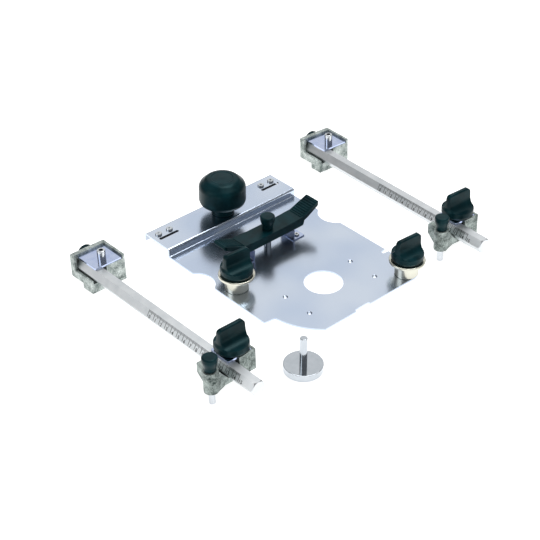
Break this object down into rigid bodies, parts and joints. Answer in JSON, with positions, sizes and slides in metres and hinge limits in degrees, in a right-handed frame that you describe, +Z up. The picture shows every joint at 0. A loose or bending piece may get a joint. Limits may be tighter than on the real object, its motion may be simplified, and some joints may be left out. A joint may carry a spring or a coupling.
{
  "type": "router hole-row guide set",
  "caption": "Sheet-steel router guide plate with raised rear strip, rocker-lifted index pin and clamp knobs, two side stops on graduated hexagonal rods, and a loose centring mandrel.",
  "frame": {"origin": "axis of the cutter opening at the guide plate's underside", "axes": "+Z up, +X along the raised rear strip, +Y from the cutter opening towards the strip"},
  "size_m": [0.443, 0.3384, 0.0709],
  "materials": {
    "plated_sheet": "bright plated, fine satin",
    "black_plastic": "moulded, satin",
    "jaw_plastic": "moulded, smooth",
    "nickel": "nickel plated, polished",
    "die_casting": "blasted die casting",
    "rod_aluminium": "drawn, satin",
    "bright_zinc": "bright zinc, polished",
    "polished_steel": "polished"
  },
  "bodies": {
    "guide": {"guide_plate": "plated_sheet", "rear_knob": "black_plastic", "rear_knob_screw": "polished_steel", "clamp_collar_left": "nickel", "clamp_collar_right": "nickel", "rocker_brackets": "bright_zinc", "bracket_screws": "polished_steel", "index_bush": "polished_steel"},
    "jaw_left": {"guide_jaw_left": "jaw_plastic", "jaw_screws_left": "polished_steel"},
    "clamp_left": {"clamp_knob_left": "black_plastic", "clamp_screw_left": "polished_steel"},
    "jaw_right": {"guide_jaw_right": "jaw_plastic", "jaw_screws_right": "polished_steel"},
    "clamp_right": {"clamp_knob_right": "black_plastic", "clamp_screw_right": "polished_steel"},
    "lever": {"rocker_lever": "black_plastic"},
    "index": {"index_pin": "polished_steel", "index_knob": "black_plastic"},
    "stop_left": {"rod_left": "rod_aluminium", "head_casting_left": "die_casting", "head_plate_left": "bright_zinc", "head_stud_left": "polished_steel"},
    "head_knob_left": {"head_knob_left": "black_plastic"},
    "slider_left": {"slider_casting_left": "die_casting", "slider_plate_left": "bright_zinc"},
    "slider_clamp_left": {"slider_knob_left": "black_plastic", "slider_screw_left": "polished_steel"},
    "stop_pin_left": {"stop_pin_left": "polished_steel", "stop_pin_knob_left": "black_plastic"},
    "stop_right": {"rod_right": "rod_aluminium", "head_casting_right": "die_casting", "head_plate_right": "bright_zinc", "head_stud_right": "polished_steel"},
    "head_knob_right": {"head_knob_right": "black_plastic"},
    "slider_right": {"slider_casting_right": "die_casting", "slider_plate_right": "bright_zinc"},
    "slider_clamp_right": {"slider_knob_right": "black_plastic", "slider_screw_right": "polished_steel"},
    "stop_pin_right": {"stop_pin_right": "polished_steel", "stop_pin_knob_right": "black_plastic"},
    "mandrel": {"mandrel_disc": "polished_steel", "mandrel_pin": "polished_steel"}
  },
  "joints": [
    {"name": "jaw_adjust_left", "type": "slide", "parent": "guide", "child": "jaw_left", "axis": [0, 1, 0], "range_m": [-0.0008, 0.0008]},
    {"name": "clamp_turn_left", "type": "hinge", "parent": "guide", "child": "clamp_left", "pos_m": [-0.0795, 0.058, 0.022], "axis": [0, 0, 1], "range_deg": [-180, 180]},
    {"name": "jaw_adjust_right", "type": "slide", "parent": "guide", "child": "jaw_right", "axis": [0, 1, 0], "range_m": [-0.0008, 0.0008]},
    {"name": "clamp_turn_right", "type": "hinge", "parent": "guide", "child": "clamp_right", "pos_m": [0.0825, -0.0505, 0.022], "axis": [0, 0, 1], "range_deg": [-180, 180]},
    {"name": "lever_tilt", "type": "hinge", "parent": "guide", "child": "lever", "pos_m": [0.0312, 0.095, 0.0167], "axis": [0, 1, 0], "range_deg": [0, 7], "stiffness_Nm_per_rad": 1.2, "springref_deg": -8.59},
    {"name": "index_lift", "type": "slide", "parent": "guide", "child": "index", "axis": [0, 0, 1], "range_m": [0, 0.0046]},
    {"name": "stop_lift_left", "type": "slide", "parent": "guide", "child": "stop_left", "axis": [0, 0, 1], "range_m": [0, 0.12]},
    {"name": "head_knob_turn_left", "type": "hinge", "parent": "stop_left", "child": "head_knob_left", "pos_m": [-0.18115, 0.19974, 0.02089], "axis": [0.0155, 0.9989, -0.0436], "range_deg": [-180, 180]},
    {"name": "slider_travel_left", "type": "slide", "parent": "stop_left", "child": "slider_left", "axis": [0.0155, 0.9989, -0.0436], "range_m": [-0.024, 0.18]},
    {"name": "slider_clamp_turn_left", "type": "hinge", "parent": "slider_left", "child": "slider_clamp_left", "pos_m": [-0.18372, -0.05577, 0.04095], "axis": [0.0007, 0.0436, 0.999], "range_deg": [-180, 180]},
    {"name": "stop_pin_pull_left", "type": "slide", "parent": "slider_left", "child": "stop_pin_left", "axis": [0.0007, 0.0436, 0.999], "range_m": [0, 0.0165], "stiffness_N_per_m": 150, "springref_m": -0.012},
    {"name": "stop_lift_right", "type": "slide", "parent": "guide", "child": "stop_right", "axis": [0, 0, 1], "range_m": [0, 0.12]},
    {"name": "head_knob_turn_right", "type": "hinge", "parent": "stop_right", "child": "head_knob_right", "pos_m": [0.18957, 0.21537, 0.02089], "axis": [0.0711, 0.9965, -0.0436], "range_deg": [-180, 180]},
    {"name": "slider_travel_right", "type": "slide", "parent": "stop_right", "child": "slider_right", "axis": [0.0711, 0.9965, -0.0436], "range_m": [-0.024, 0.18]},
    {"name": "slider_clamp_turn_right", "type": "hinge", "parent": "slider_right", "child": "slider_clamp_right", "pos_m": [0.17245, -0.04433, 0.04116], "axis": [0.0031, 0.0435, 0.999], "range_deg": [-180, 180]},
    {"name": "stop_pin_pull_right", "type": "slide", "parent": "slider_right", "child": "stop_pin_right", "axis": [0.0031, 0.0435, 0.999], "range_m": [0, 0.0165], "stiffness_N_per_m": 150, "springref_m": -0.012},
    {"name": "mandrel_lift", "type": "slide", "parent": "guide", "child": "mandrel", "axis": [0, 0, 1], "range_m": [0, 0.1]}
  ],
  "couplings": [
    {"joint": "index_lift", "follows": "lever_tilt", "m_per_rad": 0.0372}
  ]
}
